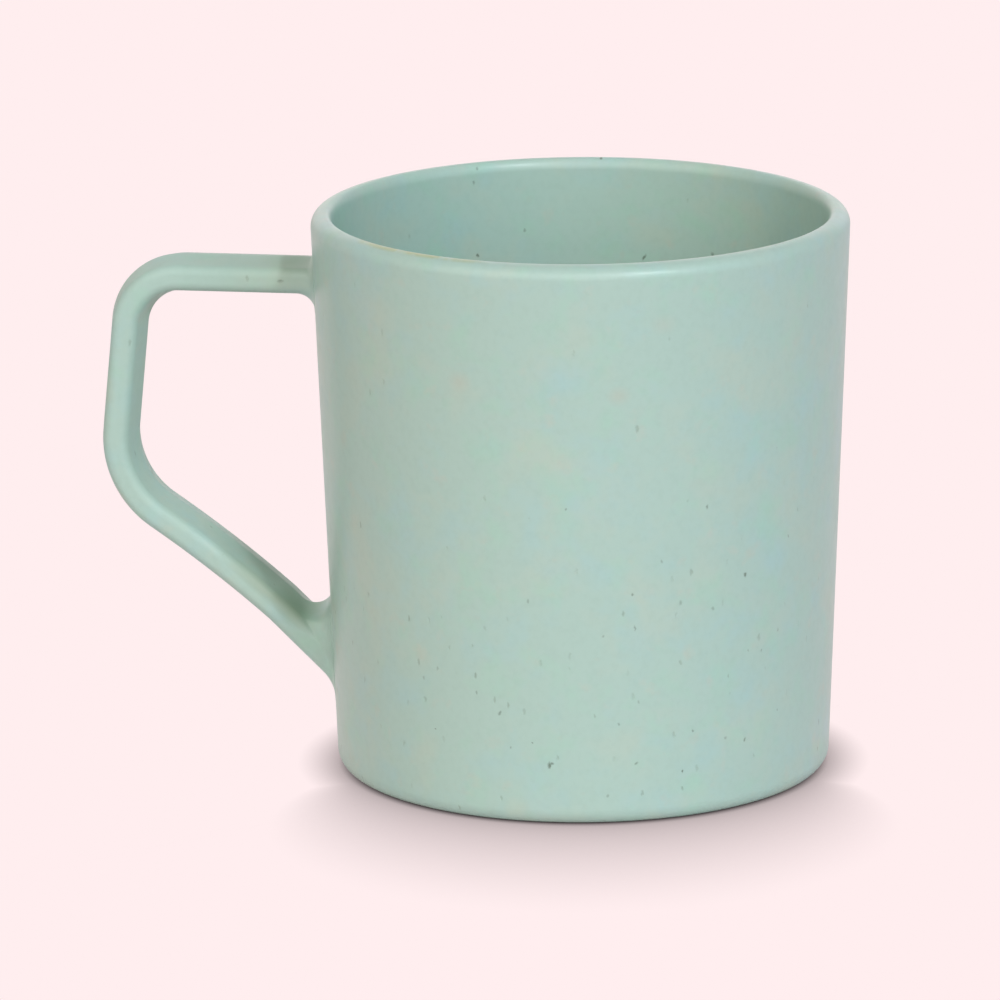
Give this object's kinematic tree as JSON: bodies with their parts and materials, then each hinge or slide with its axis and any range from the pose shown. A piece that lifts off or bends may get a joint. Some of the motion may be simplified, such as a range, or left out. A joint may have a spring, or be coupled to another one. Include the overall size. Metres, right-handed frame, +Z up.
{
  "type": "mug",
  "caption": "Straight-sided mug that widens slightly to its rim, with a thin angular handle: level top arm, upright post and slanted lower arm.",
  "frame": {"origin": "on the table plane, on the cup's axis, at the middle of the foot ring", "axes": "+Z up along the cup's axis, the handle along -X with its middle plane in XZ, +Y to the back"},
  "size_m": [0.1201, 0.0852, 0.09],
  "materials": {
    "composite": "matt sage green plant-fibre composite with fine mottling and sparse dark fibre flecks"
  },
  "bodies": {
    "root": {"cup_body": "composite", "handle": "composite"}
  },
  "joints": []
}
